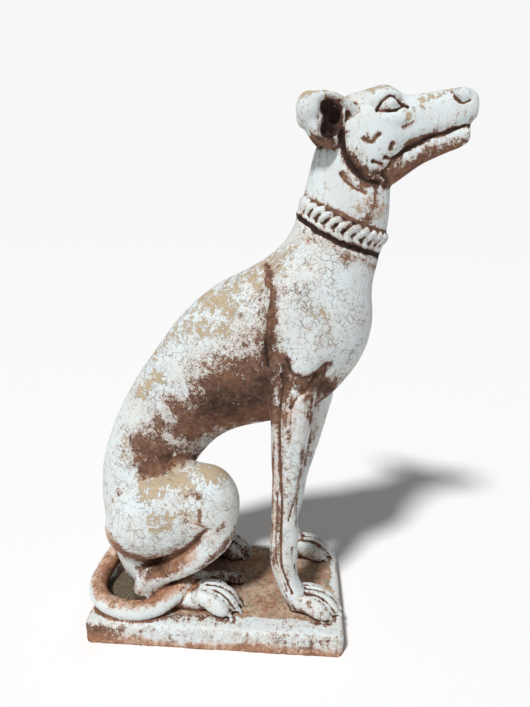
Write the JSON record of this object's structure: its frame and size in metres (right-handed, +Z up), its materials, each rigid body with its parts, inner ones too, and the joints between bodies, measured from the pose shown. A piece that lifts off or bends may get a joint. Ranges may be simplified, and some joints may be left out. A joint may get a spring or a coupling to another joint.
{
  "type": "dog statue",
  "caption": "Cast iron garden statue of a sitting greyhound with raised head, chain collar and curled tail, on an oblong plinth.",
  "frame": {"origin": "centre of the plinth's underside", "axes": "+Z up, +X the way the dog faces along the plinth's length, -Y toward the dog's right side, where the tail curls"},
  "size_m": [0.5015, 0.2064, 0.7517],
  "materials": {
    "painted_cast_iron": "crackled, flaking white paint over rusty cast iron"
  },
  "bodies": {
    "root": {"statue": "painted_cast_iron"}
  },
  "joints": []
}
